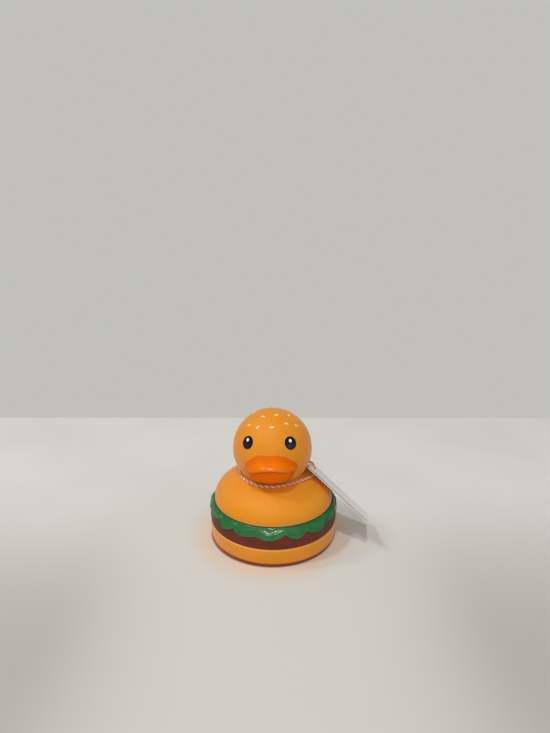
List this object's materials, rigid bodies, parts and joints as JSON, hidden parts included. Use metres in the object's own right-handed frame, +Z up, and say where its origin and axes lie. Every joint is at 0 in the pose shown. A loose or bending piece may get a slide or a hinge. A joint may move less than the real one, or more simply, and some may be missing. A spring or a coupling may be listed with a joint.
{
  "type": "rubber duck",
  "caption": "Hollow vinyl rubber duck made up as a hamburger, with a thread round its neck that carries a folded swing tag.",
  "frame": {"origin": "centre of the foot ring on the surface that the duck stands on", "axes": "+Z up along the body's axis, -Y the way the bill points, +X the side that the swing tag hangs on"},
  "size_m": [0.1013, 0.0811, 0.0831],
  "materials": {
    "vinyl": "satin",
    "thread": "matte",
    "card": "satin"
  },
  "bodies": {
    "root": {"duck": "vinyl", "neck_cord": "thread", "cord_knot": "thread", "swing_tag": "card"}
  },
  "joints": []
}
